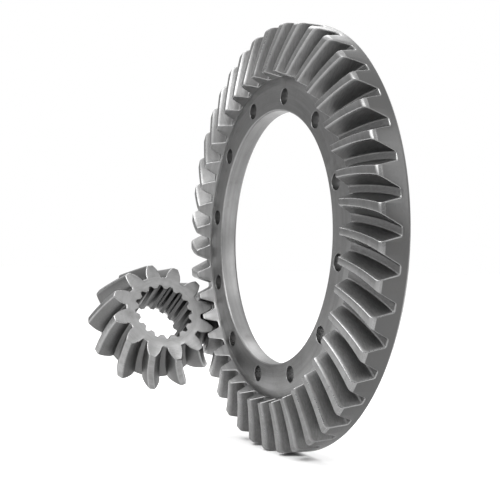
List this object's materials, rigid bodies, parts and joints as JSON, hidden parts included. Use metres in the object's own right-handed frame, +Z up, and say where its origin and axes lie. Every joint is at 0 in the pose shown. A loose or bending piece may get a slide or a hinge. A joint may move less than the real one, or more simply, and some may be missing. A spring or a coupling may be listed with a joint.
{
  "type": "spiral bevel gear pair",
  "caption": "Spiral bevel ring gear with a bolt circle, in mesh with a splined-bore pinion on a crossing axis; both turn together, the pinion backed by a thrust washer.",
  "frame": {"origin": "centre of the ring gear's bolt circle, on the back of its flange, where it seats on its carrier", "axes": "+X along the ring gear's axis, away from its teeth; +Z up; the pinion's axis crosses the ring gear's at X = -60 mm and runs towards +Y, 29.5 degrees below the horizontal"},
  "size_m": [0.1256, 0.3352, 0.3302],
  "materials": {
    "ring_steel": "machined, dark oiled steel",
    "pinion_steel": "machined, dark oiled steel",
    "washer_steel": "ground"
  },
  "bodies": {
    "housing_side": {"thrust_washer": "washer_steel"},
    "ring": {"ring_gear": "ring_steel"},
    "pinion": {"pinion": "pinion_steel"}
  },
  "joints": [
    {"name": "ring_spin", "type": "hinge", "parent": "housing_side", "child": "ring", "pos_m": [0, 0, 0], "axis": [-1, 0, 0], "continuous": true},
    {"name": "pinion_spin", "type": "hinge", "parent": "housing_side", "child": "pinion", "pos_m": [-0.06, 0, 0], "axis": [0, 0.8704, -0.4924], "continuous": true}
  ],
  "couplings": [
    {"joint": "pinion_spin", "follows": "ring_spin", "ratio": 3.4167}
  ]
}
